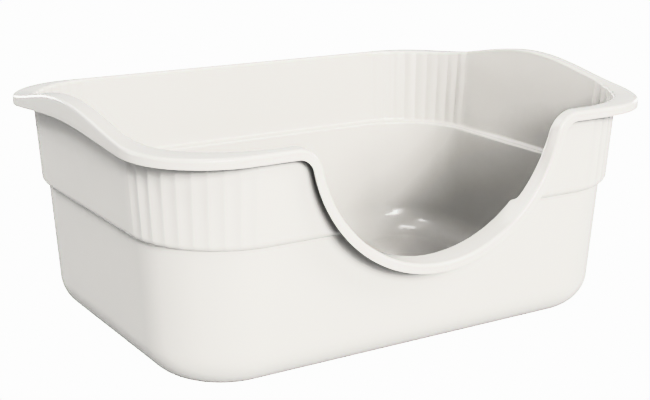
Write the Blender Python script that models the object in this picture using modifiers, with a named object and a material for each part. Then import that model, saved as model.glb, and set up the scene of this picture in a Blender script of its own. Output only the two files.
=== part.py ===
"""Open, high-sided cat litter pan: one injection-moulded shell of constant wall thickness.

The pan stands on z = 0 with its origin under its middle. X is its length, the low entry is at -Y.
Every height of the wall is the same rectangle, with sides CORE_X and CORE_Y from the middle, grown
outward by a radius. The skin that faces into the pan is lofted column by column: floor, bottom
fillet, tapered wall, step, fluted upper band, rim flange and skirt. Solidify gives it its wall.
"""
import math

import bpy

# Driving dimensions, in metres.
RIM_LENGTH = 0.600          # outside of the rim, end to end, at its corners
RIM_WIDTH = 0.438           # outside of the rim, front to back
RIM_HEIGHT = 0.2376         # top of the rim at the corners
RIM_CORNER = 0.0885         # radius of the rim's outer corners in plan
END_BOW = 0.0016            # the rim's short ends bow out this much at the middle
END_OVERHANG = 0.0135       # rim past the outside of the wall, along the short ends
SIDE_OVERHANG = 0.0107      # and along the front and the back
WALL = 0.0028               # wall thickness everywhere
TAPER = 0.068               # how far the wall leans out for each metre of height
BASE_CORNER = 0.0797        # outer corner radius of the wall, carried down to z = 0
BOTTOM_FILLET = 0.0385      # outer radius between the floor and the wall
STEP_OUT = 0.0067           # the upper band stands this far outside the tub
STEP_LOW = 0.1441           # height where the step starts, on the inside
STEP_HIGH = 0.1501          # height where the step ends, on the inside
EDGE_INNER = 0.0030         # rounding between the wall and the rim's top
EDGE_OUTER = 0.0032         # rounding between the rim's top and its skirt
RIM_FALL = 0.0008           # the rim's top falls this much from its inner to its outer edge
SKIRT = 0.0109              # depth of the skirt below the rim's top
HUMP_RISE = 0.0222          # the rim rises this much over the middle of each short end
HUMP_REACH = 0.181          # half the length of that rise, along Y
HUMP_SKIRT = 0.0114         # extra depth of the skirt under the top of the rise
ENTRY_RADIUS = 0.1415       # the entry's edge is an arc of this radius
ENTRY_CENTRE = 0.2470       # height of the arc's centre
ENTRY_SHOULDER = 0.028      # radius between the arc and the level rim
FLUTES = 9                  # hollow flutes round each corner of the upper band
FLUTE_PITCH = math.radians(8.4)
FLUTE_MIDDLE = math.radians(43.4)
FLUTE_DEPTH = 0.0011
FLUTE_START = 0.1543        # the flutes are at full depth above this height
FLUTE_END = 0.2310          # and fade out above this one

# Sizes that follow from them.
OUTLINE_X = RIM_LENGTH / 2
OUTLINE_Y = RIM_WIDTH / 2
TOP_RADIUS = BASE_CORNER + TAPER * RIM_HEIGHT + STEP_OUT
CORE_X = OUTLINE_X - END_OVERHANG - TOP_RADIUS
CORE_Y = OUTLINE_Y - SIDE_OVERHANG - TOP_RADIUS
RIM_MIDDLE = TOP_RADIUS + SIDE_OVERHANG
INNER_FILLET = BOTTOM_FILLET - WALL
FILLET_RADIUS = BASE_CORNER + TAPER * BOTTOM_FILLET - BOTTOM_FILLET


def smooth(value):
    """Ease from 0 to 1 as value goes from 0 to 1."""
    value = min(max(value, 0.0), 1.0)
    return value * value * (3 - 2 * value)


def wall_radius(z):
    """Distance of the wall's inner face from the core rectangle."""
    step = STEP_OUT * smooth((z - STEP_LOW) / (STEP_HIGH - STEP_LOW))
    return BASE_CORNER + TAPER * z + step - WALL


def outline_radius(core, normal):
    """Distance from a core point, along its normal, to the rim's outer outline."""
    x, y = abs(core[0]), abs(core[1])
    nx, ny = abs(normal[0]), abs(normal[1])
    bend_x, bend_y = OUTLINE_X - RIM_CORNER, OUTLINE_Y - RIM_CORNER
    to_end = (OUTLINE_X - x) / nx if nx > 1e-9 else math.inf
    to_side = (OUTLINE_Y - y) / ny if ny > 1e-9 else math.inf
    if y + ny * to_end <= bend_y:
        bow = 1 - ((y + ny * to_end) / bend_y) ** 2
        return to_end + END_BOW * bow / nx
    if x + nx * to_side <= bend_x:
        return to_side
    dx, dy = bend_x - x, bend_y - y
    along = dx * nx + dy * ny
    return along + math.sqrt(along ** 2 - dx ** 2 - dy ** 2 + RIM_CORNER ** 2)


class Column:
    """One column of the loft: a core point, its outward normal and its place on the rim.

    edge is the (x, z) of the rim's top for the entry's columns, and down the direction in the
    wall, away from that edge. Everywhere else the rim's top is level and down is straight down.
    """

    def __init__(self, core, normal, flute=0.0, edge=None, down=(0.0, -1.0)):
        self.core = core
        self.normal = normal
        self.flute = flute
        self.down = down
        y = core[1] + normal[1] * RIM_MIDDLE
        lift = abs(normal[0]) > 1e-6 and abs(y) < HUMP_REACH
        self.hump = 0.5 + 0.5 * math.cos(math.pi * y / HUMP_REACH) if lift else 0.0
        self.top = edge[1] if edge else RIM_HEIGHT + HUMP_RISE * self.hump

    def at(self, radius, z, down=0.0):
        """The point at this radius and height, moved by down along the wall."""
        x = self.core[0] + self.normal[0] * radius + self.down[0] * down
        y = self.core[1] + self.normal[1] * radius
        return (x, y, z + self.down[1] * down)

    def wall_points(self):
        """The rows from the floor's edge to the start of the rim's inner rounding."""
        points = []
        for turn in (0, 20, 42, 66, 90):
            angle = math.radians(turn)
            radius = FILLET_RADIUS + INNER_FILLET * math.sin(angle)
            points.append((radius, BOTTOM_FILLET - INNER_FILLET * math.cos(angle), 0.0))
        rise = STEP_HIGH - STEP_LOW
        for part in (0.0, 0.33, 0.67, 1.0):
            z = STEP_LOW + rise * part
            points.append((wall_radius(z), z, 0.0))
        for z in (FLUTE_START, FLUTE_END):
            points.append((wall_radius(z), z, self.flute))
        last = self.top + self.down[1] * EDGE_INNER
        side = self.down[0] * EDGE_INNER
        rows_wanted = len(points)
        points = [p for p in points if p[1] < last - 1e-4]
        missing = rows_wanted - len(points)
        points.append((wall_radius(last), last, 0.0))
        rows = []
        for radius, z, flute in points:
            x, y, z = self.at(radius - flute, z)
            rows.append((x + side, y, z))
        return rows + [rows[-1]] * missing

    def rim_points(self):
        """The rows over the rim: inner rounding, top, outer rounding and skirt."""
        start = wall_radius(self.top + self.down[1] * EDGE_INNER)
        end = outline_radius(self.core, self.normal)
        rows = []
        for turn in (45, 90):
            angle = math.radians(turn)
            radius = start + EDGE_INNER * (1 - math.cos(angle))
            rows.append(self.at(radius, self.top, EDGE_INNER * (1 - math.sin(angle))))
        for turn in (0, 45, 90):
            angle = math.radians(turn)
            radius = end - EDGE_OUTER * (1 - math.sin(angle))
            drop = RIM_FALL + EDGE_OUTER * (1 - math.cos(angle))
            rows.append(self.at(radius, self.top, drop))
        rows.append(self.at(end, self.top, SKIRT + HUMP_SKIRT * self.hump))
        return rows


def corner_columns(side_x, side_y):
    """The columns round one corner, from its short end to its long side."""
    angles = [(0.0, 0.0)]
    for i in range(2 * FLUTES + 1):
        angle = FLUTE_MIDDLE + FLUTE_PITCH * (i / 2 - FLUTES / 2)
        angles.append((angle, FLUTE_DEPTH * (i % 2)))
    angles.append((math.pi / 2, 0.0))
    core = (side_x * CORE_X, side_y * CORE_Y)
    return [Column(core, (side_x * math.cos(a), side_y * math.sin(a)), d) for a, d in angles]


def end_columns(side_x):
    """The columns along a short end, from back to front, without the corners'."""
    parts = (0.75, 0.5, 0.25, 0.0, -0.25, -0.5, -0.75)
    return [Column((side_x * CORE_X, CORE_Y * part), (side_x, 0.0)) for part in parts]


def entry_columns():
    """The columns along the front, from left to right, over the entry's arc and shoulders."""
    reach = ENTRY_RADIUS + ENTRY_SHOULDER
    bend_z = RIM_HEIGHT - ENTRY_SHOULDER
    bend_x = math.sqrt(reach ** 2 - (ENTRY_CENTRE - bend_z) ** 2)
    limit = math.atan2(bend_x, ENTRY_CENTRE - bend_z)
    front = (0.0, -1.0)
    half = []
    steps = 9
    for i in range(steps):
        a = limit * i / steps
        edge = (ENTRY_RADIUS * math.sin(a), ENTRY_CENTRE - ENTRY_RADIUS * math.cos(a))
        half.append((edge, (math.sin(a), -math.cos(a))))
    turns = 5
    for i in range(turns + 1):
        a = limit * (1 - i / turns)
        edge = (bend_x - ENTRY_SHOULDER * math.sin(a), bend_z + ENTRY_SHOULDER * math.cos(a))
        half.append((edge, (math.sin(a), -math.cos(a))))
    columns = []
    for edge, down in reversed(half):
        columns.append(Column((-edge[0], -CORE_Y), front, 0.0, edge, (-down[0], down[1])))
    for edge, down in half[1:]:
        columns.append(Column((edge[0], -CORE_Y), front, 0.0, edge, down))
    return columns


def pan_columns():
    """All columns, anticlockwise from above, from the front right corner."""
    columns = list(reversed(corner_columns(1, -1)))
    columns += reversed(end_columns(1))
    columns += corner_columns(1, 1)
    columns += [Column((CORE_X * part, CORE_Y), (0.0, 1.0)) for part in (0.33, -0.33)]
    columns += reversed(corner_columns(-1, 1))
    columns += end_columns(-1)
    columns += corner_columns(-1, -1)
    columns += entry_columns()
    return columns


def lofted_skin(name, columns):
    """Mesh of the pan's inner skin: the floor as one face, then a strip for each pair of rows."""
    points = []
    index = []
    for column in columns:
        row_index = []
        last = None
        for point in column.wall_points() + column.rim_points():
            if point != last:
                points.append(point)
            row_index.append(len(points) - 1)
            last = point
        index.append(row_index)
    faces = [[rows[0] for rows in index]]
    for i, rows in enumerate(index):
        after = index[(i + 1) % len(index)]
        for k in range(len(rows) - 1):
            face = []
            for corner in (rows[k], rows[k + 1], after[k + 1], after[k]):
                if corner not in face:
                    face.append(corner)
            if len(face) > 2:
                faces.append(face)
    mesh = bpy.data.meshes.new(name)
    mesh.from_pydata(points, [], faces)
    mesh.update()
    return mesh


def plastic(name, colour, roughness):
    """A moulded plastic material."""
    material = bpy.data.materials.new(name)
    material.use_nodes = True
    shader = material.node_tree.nodes["Principled BSDF"]
    shader.inputs["Base Color"].default_value = (*colour, 1.0)
    shader.inputs["Roughness"].default_value = roughness
    shader.inputs["Metallic"].default_value = 0.0
    return material


def litter_pan(collection):
    """The pan: the inner skin, thickened outward and downward to a closed shell."""
    mesh = lofted_skin("litter_pan", pan_columns())
    pan = bpy.data.objects.new("litter_pan", mesh)
    collection.objects.link(pan)
    shell = pan.modifiers.new("Wall", "SOLIDIFY")
    shell.thickness = WALL
    shell.offset = -1.0
    shell.use_even_offset = True
    shell.use_quality_normals = True
    mesh.shade_smooth()
    mesh.set_sharp_from_angle(angle=math.radians(35))
    mesh.materials.append(plastic("off_white_plastic", (0.82, 0.80, 0.76), 0.35))
    return pan


def main():
    for old in list(bpy.data.objects):
        bpy.data.objects.remove(old)
    collection = bpy.data.collections.new("open_litter_pan")
    bpy.context.scene.collection.children.link(collection)
    litter_pan(collection)


main()
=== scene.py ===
"""Looks of an open, high-sided cat litter pan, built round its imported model.

The pan is one moulding in off-white plastic, so it is one seamless mesh here: floor, walls, step,
hollow flutes, rim flange, skirt and entry, on both faces of the wall. It takes the place of the
faceted solid, whose box gives its overall sizes. All sizes are in metres.
"""
import math

import bpy
from mathutils import Matrix, Vector


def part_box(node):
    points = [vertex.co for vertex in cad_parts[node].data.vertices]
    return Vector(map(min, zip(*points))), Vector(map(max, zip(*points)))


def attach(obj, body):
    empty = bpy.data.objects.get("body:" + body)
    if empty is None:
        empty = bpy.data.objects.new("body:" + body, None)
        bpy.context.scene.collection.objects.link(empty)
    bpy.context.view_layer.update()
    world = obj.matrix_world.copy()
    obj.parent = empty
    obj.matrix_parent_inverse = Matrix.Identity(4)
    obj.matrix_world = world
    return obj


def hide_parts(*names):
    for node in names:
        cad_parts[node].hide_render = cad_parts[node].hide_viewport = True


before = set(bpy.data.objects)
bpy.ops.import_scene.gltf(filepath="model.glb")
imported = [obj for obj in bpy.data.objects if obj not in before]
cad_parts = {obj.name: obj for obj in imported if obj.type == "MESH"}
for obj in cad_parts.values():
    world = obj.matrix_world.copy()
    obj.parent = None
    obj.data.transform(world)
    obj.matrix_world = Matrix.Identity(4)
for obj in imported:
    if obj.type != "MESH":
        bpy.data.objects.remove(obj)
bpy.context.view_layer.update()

NODE = "litter_pan"
BODY = "root"

# Sizes of the pan that the frame's box doesn't give.
END_BOW = 0.0016            # the rim's short ends bow out this much at the middle
HUMP_RISE = 0.0222          # the rim rises this much over the middle of each short end
HUMP_REACH = 0.181          # half the length of that rise, along Y
HUMP_SKIRT = 0.0114         # extra depth of the skirt under the top of the rise
RIM_CORNER = 0.0885         # radius of the rim's outer corners in plan
END_OVERHANG = 0.0135       # rim past the outside of the wall, along the short ends
SIDE_OVERHANG = 0.0107      # and along the front and the back
WALL = 0.0028               # wall thickness everywhere
TAPER = 0.068               # how far the wall leans out for each metre of height
BASE_CORNER = 0.0797        # outer corner radius of the wall, carried down to z = 0
BOTTOM_FILLET = 0.0385      # outer radius between the floor and the wall
STEP_OUT = 0.0067           # the upper band stands this far outside the tub
STEP_HEIGHT = 0.1438        # height of the step's crease, where the tub meets the band
STEP_RISE = 0.0070          # the band's lower edge is rounded over this height
EDGE_INNER = 0.0030         # rounding between the wall and the rim's top
EDGE_OUTER = 0.0032         # rounding between the rim's top and its skirt
RIM_FALL = 0.0008           # the rim's top falls this much from its inner to its outer edge
SKIRT = 0.0109              # depth of the skirt below the rim's top
LIP = 0.0006                # rounding of the skirt's lower edge
FOOT = 0.0012               # fillet where the rim's underside meets the wall
ENTRY_RADIUS = 0.1415       # the entry's edge is an arc of this radius
ENTRY_CENTRE = 0.2470       # height of the arc's centre
ENTRY_SHOULDER = 0.028      # radius between the arc and the level rim
FLUTES = 9                  # hollow flutes round each corner of the upper band
FLUTE_PITCH = math.radians(8.4)
FLUTE_MIDDLE = math.radians(43.4)
FLUTE_DEPTH = 0.0010
FLUTE_FADE = 0.009          # height over the crease where a flute has its full depth
FLUTE_EDGE = 0.16           # how far the ridges between flutes are rounded, as a share of the depth
MARK_DEPTH = 0.00025        # a faint mould line in the skirt at the entry's middle and by each corner
MARK_HALF = 0.0007          # half its width
MARK_X = 0.192              # and where the ones by the corners are, on the front and the back
MARK_START = 0.5            # share of the skirt's depth above which the skirt has no mould line

# Overall sizes, from the frame. In plan the wall and the rim lie round a core rectangle, which
# reaches CORE_X and CORE_Y from the middle.
box_low, box_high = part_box(NODE)
OUTLINE_X = box_high[0] - END_BOW
OUTLINE_Y = box_high[1]
RIM_HEIGHT = box_high[2] - HUMP_RISE
TOP_RADIUS = BASE_CORNER + TAPER * RIM_HEIGHT + STEP_OUT
CORE_X = OUTLINE_X - END_OVERHANG - TOP_RADIUS
CORE_Y = OUTLINE_Y - SIDE_OVERHANG - TOP_RADIUS
RIM_RADIUS = TOP_RADIUS + SIDE_OVERHANG
FILLET_RADIUS = BASE_CORNER + TAPER * BOTTOM_FILLET - BOTTOM_FILLET

# Steps of the mesh.
FILLET_STEPS = 12
WALL_STEPS = 6
STEP_STEPS = 12
BAND_STEPS = 8
EDGE_STEPS = 6
FLUTE_STEPS = 10
ENTRY_STEPS = 90
SHOULDER_STEPS = 36
END_STEPS = 40
BACK_STEPS = 24
SMALL_STEPS = 3             # for the skirt's lower edge and the fillet behind the skirt
MARK_STEPS = 4
CREASE_GAP = 0.0004         # the tub's last row lies this far under the step's crease

# Where the mesh's rows and columns lie on plain stretches, as shares of the stretch.
FLOOR_ROWS = (0.3, 0.8)
SKIRT_ROWS = (0.45, 0.55, 0.75)
BEFORE_FLUTES = (0.0, 0.25, 0.5, 0.75, 0.93)
AFTER_FLUTES = (0.07, 0.2, 0.35)
AFTER_MARK = (0.7, 0.85, 1.0)

TINY = 1e-9                 # a direction's part under this counts as none
SAME_POINT = 1e-7           # points closer than this are one

# Studio.
LIGHT_DISTANCE = 9.0        # from the pan's middle to each light
WHITE = 8.0                 # brightness of the floor and the surround where the camera sees them
FLOOR_GLOW = 0.47           # and the floor's where only the pan sees it
SKY_GLOW = 0.9              # and the surround's in the pan's reflections
FLOOR_REACH = 12.0          # from the middle to the floor's sides


def spread(start, end, steps):
    """Evenly spaced values from start to end, both included."""
    return [start + (end - start) * i / steps for i in range(steps + 1)]


def arc(start, end, steps):
    """Angles in radians from start to end degrees."""
    return [math.radians(a) for a in spread(start, end, steps)]


def step_out(rise, outer):
    """How far the step has moved a face of the wall outward, at a height over its crease.

    The outer face leaves the crease level and turns up in a quarter ellipse. The inner face keeps
    one wall thickness off it, so it turns out round the crease first.
    """
    rise = min(max(rise, 0.0), STEP_RISE)
    if outer:
        return STEP_OUT * math.sqrt(1 - (1 - rise / STEP_RISE) ** 2)
    if rise < WALL:
        return WALL - math.sqrt(WALL ** 2 - rise ** 2)
    left = (STEP_RISE - rise) / (STEP_RISE - WALL)
    return WALL + (STEP_OUT - WALL) * math.sqrt(1 - left ** 2)


def step_rises(outer):
    """Heights of the mesh's rows over the crease, closer together where the step is flatter."""
    turn = [1 - math.cos(a) for a in arc(0, 90, STEP_STEPS if outer else STEP_STEPS // 2)]
    if outer:
        return [STEP_RISE * part for part in turn]
    first = [WALL * (1 - part) for part in reversed(turn)]
    return first + [WALL + (STEP_RISE - WALL) * part for part in turn[1:]]


def outline_radius(core, normal):
    """Distance from a core point, along its normal, to the rim's outer outline."""
    x, y = abs(core[0]), abs(core[1])
    nx, ny = abs(normal[0]), abs(normal[1])
    bend_x, bend_y = OUTLINE_X - RIM_CORNER, OUTLINE_Y - RIM_CORNER
    to_end = (OUTLINE_X - x) / nx if nx > TINY else math.inf
    to_side = (OUTLINE_Y - y) / ny if ny > TINY else math.inf
    if y + ny * to_end <= bend_y:
        bow = 1 - ((y + ny * to_end) / bend_y) ** 2
        return to_end + END_BOW * bow / nx
    if x + nx * to_side <= bend_x:
        return to_side
    dx, dy = bend_x - x, bend_y - y
    along = dx * nx + dy * ny
    return along + math.sqrt(along ** 2 - dx ** 2 - dy ** 2 + RIM_CORNER ** 2)


class Column:
    """One column of the mesh: a core point, its outward normal and its place on the rim.

    edge is the (x, z) of the rim's top for the entry's columns, and down the direction in the
    wall, away from that edge. Everywhere else the rim's height follows from the column's place,
    and down is straight down. flute is how far the column lies inside the ridges of the flutes,
    and mark is how far the skirt is set back at a mould line.
    """

    def __init__(self, core, normal, flute=0.0, edge=None, down=(0.0, -1.0), mark=0.0):
        self.core = core
        self.normal = normal
        self.flute = flute
        self.down = down
        self.mark = mark
        y = core[1] + normal[1] * RIM_RADIUS
        lift = abs(normal[0]) > TINY and abs(y) < HUMP_REACH
        hump = 0.5 + 0.5 * math.cos(math.pi * y / HUMP_REACH) if lift else 0.0
        self.top = edge[1] if edge else RIM_HEIGHT + HUMP_RISE * hump
        self.skirt = SKIRT + HUMP_SKIRT * hump
        self.outline = outline_radius(core, normal)

    def at(self, radius, z, drop=0.0):
        """The point at this radius and height, moved by drop down the wall."""
        x = self.core[0] + self.normal[0] * radius + self.down[0] * drop
        y = self.core[1] + self.normal[1] * radius
        return (x, y, z + self.down[1] * drop)

    def face_radius(self, z, outer):
        """Distance of one face of the wall from the core rectangle."""
        rise = z - STEP_HEIGHT
        out = step_out(rise, outer)
        flute = self.flute * min(max(rise / FLUTE_FADE, 0.0), 1.0)
        return BASE_CORNER + TAPER * z + out - flute - (0 if outer else WALL)

    def face_rows(self, outer):
        """One face of the wall, from the floor up to where the rim's rounding starts.

        Every column has the same rows, so those over the entry's edge fall together on its last
        point. The rows of an entry's column all have that point's X.
        """
        reach = WALL + FOOT if outer else EDGE_INNER
        last = self.top + self.down[1] * reach
        side = self.down[0] * reach
        bend = BOTTOM_FILLET if outer else BOTTOM_FILLET - WALL
        rows = [(FILLET_RADIUS * part, BOTTOM_FILLET - bend) for part in FLOOR_ROWS]
        for angle in arc(0, 90, FILLET_STEPS):
            rows.append((FILLET_RADIUS + bend * math.sin(angle), BOTTOM_FILLET - bend * math.cos(angle)))
        heights = spread(BOTTOM_FILLET, STEP_HEIGHT - CREASE_GAP, WALL_STEPS)[1:]
        heights += [STEP_HEIGHT + rise for rise in step_rises(outer)]
        level = max(last, RIM_HEIGHT - reach)
        heights += spread(STEP_HEIGHT + STEP_RISE, level, BAND_STEPS)[1:]
        for z in heights:
            z = min(z, last)
            rows.append((self.face_radius(z, outer), z))
        points = []
        for radius, z in rows:
            x, y, z = self.at(radius, z)
            points.append((x + side, y, z))
        return points

    def rim_rows(self):
        """From the inner face over the rim's rounding, top and skirt, to the outer face."""
        start = self.face_radius(self.top + self.down[1] * EDGE_INNER, False)
        end = self.outline
        rows = []
        for angle in arc(0, 90, EDGE_STEPS)[1:]:
            rows.append((start + EDGE_INNER * (1 - math.cos(angle)), EDGE_INNER * (1 - math.sin(angle))))
        rows.append(((start + EDGE_INNER + end - EDGE_OUTER) / 2, RIM_FALL / 2))
        for angle in arc(0, 90, EDGE_STEPS):
            drop = RIM_FALL + EDGE_OUTER * (1 - math.cos(angle))
            rows.append((end - EDGE_OUTER * (1 - math.sin(angle)), drop))
        face = end - self.mark
        for part in SKIRT_ROWS:
            rows.append((face if part > MARK_START else end, self.skirt * part))
        for angle in arc(0, 90, SMALL_STEPS):
            rows.append((face - LIP * (1 - math.cos(angle)), self.skirt - LIP * (1 - math.sin(angle))))
        back = end - WALL
        for angle in arc(0, 90, SMALL_STEPS):
            rows.append((back + LIP * (1 - math.sin(angle)), self.skirt - LIP * (1 - math.cos(angle))))
        under = WALL + RIM_FALL
        rows.append((back, under + FOOT))
        rows.append((back - FOOT, under))
        foot = self.face_radius(self.top + self.down[1] * (WALL + FOOT), True)
        for angle in arc(90, 0, SMALL_STEPS)[:-1]:
            rows.append((foot + FOOT * (1 - math.cos(angle)), WALL + FOOT * (1 - math.sin(angle))))
        return [self.at(radius, self.top, drop) for radius, drop in rows]

    def points(self):
        """The whole column, from the inner floor over the rim to the underside."""
        return self.face_rows(False) + self.rim_rows() + self.face_rows(True)[::-1]


def hollow(turn):
    """Depth of a flute, as turn goes from 0 at one ridge to 1 at the next."""
    across = math.sin(math.pi * turn)
    round_off = math.sqrt(across ** 2 + FLUTE_EDGE ** 2) - FLUTE_EDGE
    return FLUTE_DEPTH * round_off / (math.sqrt(1 + FLUTE_EDGE ** 2) - FLUTE_EDGE)


def flute_turns():
    """Where a flute's columns lie between its two ridges, closer together near the ridges."""
    return [0.5 - 0.5 * math.cos(math.pi * i / FLUTE_STEPS) for i in range(FLUTE_STEPS)]


def mark_profile():
    """Offsets across a mould line, with its depth at each."""
    return [(MARK_HALF * part, MARK_DEPTH * (1 - part * part)) for part in spread(-1, 1, MARK_STEPS)]


def corner_columns(side_x, side_y):
    """The columns round one corner, from its short end to its long side."""
    first = FLUTE_MIDDLE - FLUTE_PITCH * FLUTES / 2
    last = FLUTE_MIDDLE + FLUTE_PITCH * FLUTES / 2
    rest = math.pi / 2 - last
    middle = math.pi / 2 - math.asin((MARK_X - CORE_X) / RIM_RADIUS)
    places = [(first * part, 0.0, 0.0) for part in BEFORE_FLUTES]
    for i in range(FLUTES):
        for turn in flute_turns():
            places.append((first + FLUTE_PITCH * (i + turn), hollow(turn), 0.0))
    places.append((last, 0.0, 0.0))
    places += [(last + rest * part, 0.0, 0.0) for part in AFTER_FLUTES]
    places += [(middle + offset / RIM_RADIUS, 0.0, depth) for offset, depth in mark_profile()]
    places += [(last + rest * part, 0.0, 0.0) for part in AFTER_MARK]
    core = (side_x * CORE_X, side_y * CORE_Y)
    columns = []
    for angle, flute, mark in places:
        normal = (side_x * math.cos(angle), side_y * math.sin(angle))
        columns.append(Column(core, normal, flute, mark=mark))
    return columns


def end_columns(side_x):
    """The columns along a short end, from back to front, without the corners'."""
    parts = spread(1, -1, END_STEPS)[1:-1]
    return [Column((side_x * CORE_X, CORE_Y * part), (side_x, 0.0)) for part in parts]


def entry_columns():
    """The columns along the front, from left to right, over the entry's arc and shoulders."""
    reach = ENTRY_RADIUS + ENTRY_SHOULDER
    bend_z = RIM_HEIGHT - ENTRY_SHOULDER
    bend_x = math.sqrt(reach ** 2 - (ENTRY_CENTRE - bend_z) ** 2)
    limit = math.atan2(bend_x, ENTRY_CENTRE - bend_z)
    half = []
    for a in spread(0, limit, ENTRY_STEPS)[:-1]:
        edge = (ENTRY_RADIUS * math.sin(a), ENTRY_CENTRE - ENTRY_RADIUS * math.cos(a))
        half.append((edge, (math.sin(a), -math.cos(a))))
    for a in spread(limit, 0, SHOULDER_STEPS):
        edge = (bend_x - ENTRY_SHOULDER * math.sin(a), bend_z + ENTRY_SHOULDER * math.cos(a))
        half.append((edge, (math.sin(a), -math.cos(a))))
    columns = []
    for edge, down in reversed(half[1:]):
        columns.append(Column((-edge[0], -CORE_Y), (0.0, -1.0), 0.0, edge, (-down[0], down[1])))
    for x, depth in mark_profile():
        edge = (x, ENTRY_CENTRE - math.sqrt(ENTRY_RADIUS ** 2 - x ** 2))
        down = (x / ENTRY_RADIUS, -math.sqrt(1 - (x / ENTRY_RADIUS) ** 2))
        columns.append(Column((x, -CORE_Y), (0.0, -1.0), 0.0, edge, down, depth))
    for edge, down in half[1:]:
        columns.append(Column((edge[0], -CORE_Y), (0.0, -1.0), 0.0, edge, down))
    return columns


def pan_columns():
    """All columns, anticlockwise from above, from the front right corner."""
    columns = list(reversed(corner_columns(1, -1)))
    columns += reversed(end_columns(1))
    columns += corner_columns(1, 1)
    columns += [Column((CORE_X * part, CORE_Y), (0.0, 1.0)) for part in spread(1, -1, BACK_STEPS)[1:-1]]
    columns += reversed(corner_columns(-1, 1))
    columns += end_columns(-1)
    columns += corner_columns(-1, -1)
    columns += entry_columns()
    return columns


def lofted_shell(name, columns):
    """Closed mesh over the columns, with the floor's two faces as one face each."""
    points = []
    index = []
    for column in columns:
        row_index = []
        last = Vector((math.inf, 0, 0))
        for point in column.points():
            if (Vector(point) - last).length > SAME_POINT or not row_index:
                points.append(point)
                last = Vector(point)
            row_index.append(len(points) - 1)
        index.append(row_index)
    faces = [[rows[0] for rows in index], [rows[-1] for rows in reversed(index)]]
    for i, rows in enumerate(index):
        after = index[(i + 1) % len(index)]
        for k in range(len(rows) - 1):
            face = []
            for corner in (rows[k], rows[k + 1], after[k + 1], after[k]):
                if corner not in face:
                    face.append(corner)
            if len(face) > 2:
                faces.append(face)
    mesh = bpy.data.meshes.new(name)
    mesh.from_pydata(points, [], faces)
    mesh.update()
    mesh.shade_smooth()
    return mesh


def nodes_of(material):
    """A function that adds a node and sets its inputs, and the tree's links."""
    tree = material.node_tree

    def add(kind, **inputs):
        node = tree.nodes.new(kind)
        for key, value in inputs.items():
            node.inputs[key.replace("_", " ")].default_value = value
        return node

    return add, tree.links


def moulded_plastic():
    """Off-white polypropylene: satin gloss over a fine moulded grain, slightly uneven."""
    material = bpy.data.materials.new("moulded_plastic")
    material.use_nodes = True
    shader = material.node_tree.nodes["Principled BSDF"]
    add, links = nodes_of(material)
    place = add("ShaderNodeTexCoord").outputs["Object"]

    tint = add("ShaderNodeTexNoise", Scale=7.0, Detail=3.0, Roughness=0.55)
    links.new(place, tint.inputs["Vector"])
    colour = add("ShaderNodeMix")
    colour.data_type = "RGBA"
    colour.inputs["A"].default_value = (0.712, 0.704, 0.690, 1.0)
    colour.inputs["B"].default_value = (0.752, 0.744, 0.729, 1.0)
    links.new(tint.outputs["Fac"], colour.inputs["Factor"])
    links.new(colour.outputs["Result"], shader.inputs["Base Color"])

    gloss = add("ShaderNodeTexNoise", Scale=38.0, Detail=4.0, Roughness=0.6)
    links.new(place, gloss.inputs["Vector"])
    rough = add("ShaderNodeMapRange")
    rough.inputs["From Min"].default_value = 0.3
    rough.inputs["From Max"].default_value = 0.7
    rough.inputs["To Min"].default_value = 0.14
    rough.inputs["To Max"].default_value = 0.18
    links.new(gloss.outputs["Fac"], rough.inputs["Value"])
    links.new(rough.outputs["Result"], shader.inputs["Roughness"])

    grain = add("ShaderNodeTexNoise", Scale=650.0, Detail=1.0, Roughness=0.5)
    links.new(place, grain.inputs["Vector"])
    fine = add("ShaderNodeBump", Strength=0.2, Distance=0.00004)
    links.new(grain.outputs["Fac"], fine.inputs["Height"])
    wave = add("ShaderNodeTexNoise", Scale=14.0, Detail=1.0, Roughness=0.4)
    links.new(place, wave.inputs["Vector"])
    broad = add("ShaderNodeBump", Strength=0.12, Distance=0.0005)
    links.new(wave.outputs["Fac"], broad.inputs["Height"])
    links.new(fine.outputs["Normal"], broad.inputs["Normal"])
    links.new(broad.outputs["Normal"], shader.inputs["Normal"])
    shader.inputs["IOR"].default_value = 1.49
    return material


def pan():
    """The seamless pan, in place of the faceted solid."""
    piece = bpy.data.objects.new("moulded_pan", lofted_shell("moulded_pan", pan_columns()))
    bpy.context.scene.collection.objects.link(piece)
    piece.data.materials.append(moulded_plastic())
    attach(piece, BODY)
    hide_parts(NODE)


def floor():
    """A plain studio floor that looks white, with a weak glow on the pan."""
    corners = [(FLOOR_REACH * x, FLOOR_REACH * y, 0) for x, y in ((-1, -1), (1, -1), (1, 1), (-1, 1))]
    mesh = bpy.data.meshes.new("studio_floor")
    mesh.from_pydata(corners, [], [(0, 1, 2, 3)])
    piece = bpy.data.objects.new("studio_floor", mesh)
    bpy.context.scene.collection.objects.link(piece)
    material = bpy.data.materials.new("studio_floor")
    material.use_nodes = True
    shader = material.node_tree.nodes["Principled BSDF"]
    shader.inputs["Base Color"].default_value = (0.25, 0.25, 0.25, 1.0)
    shader.inputs["Roughness"].default_value = 0.9
    shader.inputs["Specular IOR Level"].default_value = 0.1
    shader.inputs["Emission Color"].default_value = (1.0, 1.0, 1.0, 1.0)
    add, links = nodes_of(material)
    rays = add("ShaderNodeLightPath")
    seen = add("ShaderNodeMix")
    seen.inputs["A"].default_value = FLOOR_GLOW
    seen.inputs["B"].default_value = WHITE
    links.new(rays.outputs["Is Camera Ray"], seen.inputs["Factor"])
    links.new(seen.outputs["Result"], shader.inputs["Emission Strength"])
    material.cycles.emission_sampling = "NONE"
    mesh.materials.append(material)


def direction(azimuth, elevation):
    """Unit vector from the pan towards a place: azimuth 0 is the front, 90 the right."""
    a, e = math.radians(azimuth), math.radians(elevation)
    return Vector((math.sin(a) * math.cos(e), -math.cos(a) * math.cos(e), math.sin(e)))


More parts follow.
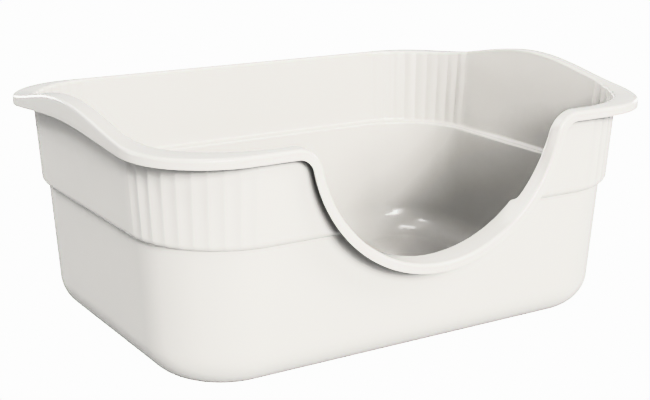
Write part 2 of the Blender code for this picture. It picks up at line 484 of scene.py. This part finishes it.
def light(name, azimuth, elevation, size, power, height=None):
    """A soft light that faces the pan's middle, square where no height is given."""
    data = bpy.data.lights.new(name, "AREA")
    data.energy = power
    data.shape = "RECTANGLE"
    data.size = size
    data.size_y = height or size
    lamp = bpy.data.objects.new(name, data)
    away = direction(azimuth, elevation)
    lamp.location = away * LIGHT_DISTANCE + Vector((0, 0, RIM_HEIGHT / 2))
    lamp.rotation_euler = away.to_track_quat("Z", "Y").to_euler()
    bpy.context.scene.collection.objects.link(lamp)


def sky():
    """An even white surround, seen in reflections and past the floor, that lights nothing else."""
    world = bpy.data.worlds.new("studio")
    bpy.context.scene.world = world
    world.use_nodes = True
    nodes = world.node_tree.nodes
    links = world.node_tree.links
    rays = nodes.new("ShaderNodeLightPath")
    seen = nodes.new("ShaderNodeMix")
    seen.inputs["B"].default_value = WHITE
    reflected = nodes.new("ShaderNodeMath")
    reflected.operation = "MULTIPLY"
    reflected.inputs[1].default_value = SKY_GLOW
    links.new(rays.outputs["Is Glossy Ray"], reflected.inputs[0])
    links.new(reflected.outputs["Value"], seen.inputs["A"])
    links.new(rays.outputs["Is Camera Ray"], seen.inputs["Factor"])
    links.new(seen.outputs["Result"], nodes["Background"].inputs["Strength"])
    nodes["Background"].inputs["Color"].default_value = (1.0, 1.0, 1.0, 1.0)
    world.cycles.sampling_method = "NONE"


def camera():
    """The camera, which aims at the pan's middle and is rolled a little."""
    azimuth, elevation, roll = -32.161, 15.316, 0.299
    distance = 1.4246
    data = bpy.data.cameras.new("camera")
    data.sensor_width = 36.0
    data.lens = 71.22
    data.shift_x = -0.0005
    data.shift_y = -0.0044
    away = direction(azimuth, elevation)
    turn = away.to_track_quat("Z", "Y").to_matrix().to_4x4()
    eye = bpy.data.objects.new("camera", data)
    place = Matrix.Translation(away * distance + Vector((0, 0, RIM_HEIGHT / 2)))
    eye.matrix_world = place @ turn @ Matrix.Rotation(math.radians(roll), 4, "Z")
    bpy.context.scene.collection.objects.link(eye)
    bpy.context.scene.camera = eye


def studio():
    """Soft lights round the pan, and plain tones.

    A light's numbers are its azimuth and elevation in degrees, its width in metres, its power in
    watts, and its height where it isn't square.
    """
    light("key", -8, 23, 4.8, 1155, 2.6)
    light("front_low", -25, 9, 3.2, 150)
    light("right_high", 40, 38, 3.2, 290)
    light("right", 62, 18, 3.2, 210)
    light("left", -85, 50, 2.2, 100, 1.1)
    light("left_above", -90, 62, 5.0, 140)
    light("left_low", -116, 7, 3.2, 180)
    light("above", -156, 86, 1.2, 145, 2.8)
    light("back_left", -150, 38, 5.0, 290)
    light("back", -168, 7, 3.6, 300, 1.6)
    light("right_low", 110, 9, 3.2, 280)
    sky()
    scene = bpy.context.scene
    scene.view_settings.view_transform = "Khronos PBR Neutral"
    scene.view_settings.gamma = 0.4
    scene.view_settings.exposure = 0.1
    scene.cycles.diffuse_bounces = 1


camera()
pan()
floor()
studio()
